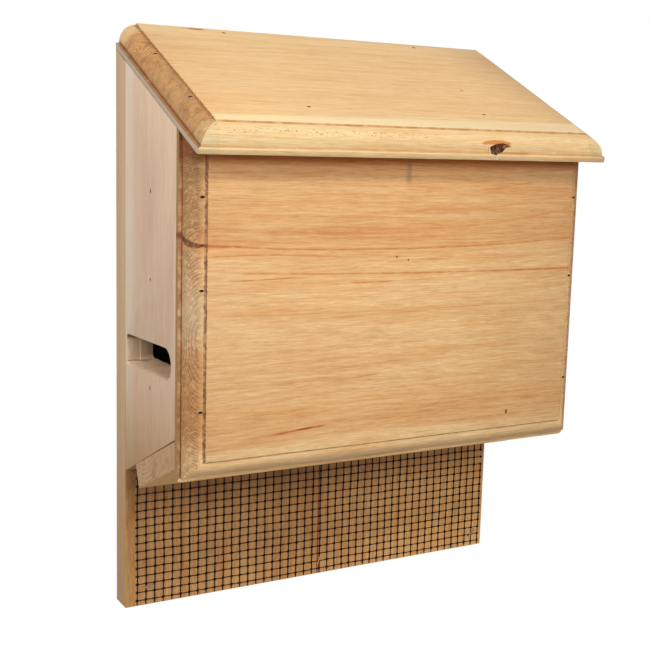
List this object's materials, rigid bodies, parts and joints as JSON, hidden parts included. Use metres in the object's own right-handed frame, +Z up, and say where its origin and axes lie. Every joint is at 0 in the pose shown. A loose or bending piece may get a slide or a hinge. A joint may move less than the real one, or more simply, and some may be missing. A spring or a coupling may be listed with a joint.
{
  "type": "bat box",
  "caption": "Wall-hung bat roosting box: two-board back with a climbing net, slotted sides, routed front and sloping roof, sloped floor with an entry gap.",
  "frame": {"origin": "middle of the back boards' rear face, which lies against the wall", "axes": "+X to the right seen from the front, +Y back into the wall, +Z up"},
  "size_m": [0.3174, 0.151, 0.4191],
  "materials": {
    "front_wood": "planed softwood, unfinished, face grain across",
    "roof_wood": "planed softwood, unfinished, face grain across",
    "side_wood": "planed softwood, unfinished, grain upright",
    "back_wood": "sawn softwood, unfinished, grain upright",
    "inner_wood": "rough sawn softwood, unfinished",
    "net_plastic": "extruded black net",
    "brad_steel": "dull wire nail",
    "staple_steel": "bright wire"
  },
  "bodies": {
    "root": {"back_board_left": "back_wood", "back_board_right": "back_wood", "left_side": "side_wood", "right_side": "side_wood", "front_panel": "front_wood", "roof_board": "roof_wood", "floor_board": "side_wood", "roost_partition": "inner_wood", "climbing_net": "net_plastic", "front_brad_left_low": "brad_steel", "partition_brad_left_low": "brad_steel", "back_brad_left_low": "brad_steel", "front_brad_left_middle": "brad_steel", "partition_brad_left_middle": "brad_steel", "back_brad_left_middle": "brad_steel", "front_brad_left_high": "brad_steel", "partition_brad_left_high": "brad_steel", "back_brad_left_high": "brad_steel", "roof_side_brad_left_back": "brad_steel", "floor_brad_left_back": "brad_steel", "roof_side_brad_left_front": "brad_steel", "floor_brad_left_front": "brad_steel", "roof_front_brad_left": "brad_steel", "roof_back_brad_left": "brad_steel", "front_brad_right_low": "brad_steel", "partition_brad_right_low": "brad_steel", "back_brad_right_low": "brad_steel", "front_brad_right_middle": "brad_steel", "partition_brad_right_middle": "brad_steel", "back_brad_right_middle": "brad_steel", "front_brad_right_high": "brad_steel", "partition_brad_right_high": "brad_steel", "back_brad_right_high": "brad_steel", "roof_side_brad_right_back": "brad_steel", "floor_brad_right_back": "brad_steel", "roof_side_brad_right_front": "brad_steel", "floor_brad_right_front": "brad_steel", "roof_front_brad_right": "brad_steel", "roof_back_brad_right": "brad_steel", "net_staple_left_low": "staple_steel", "net_staple_middle_low": "staple_steel", "net_staple_right_low": "staple_steel", "net_staple_left_high": "staple_steel", "net_staple_middle_high": "staple_steel", "net_staple_right_high": "staple_steel"}
  },
  "joints": []
}
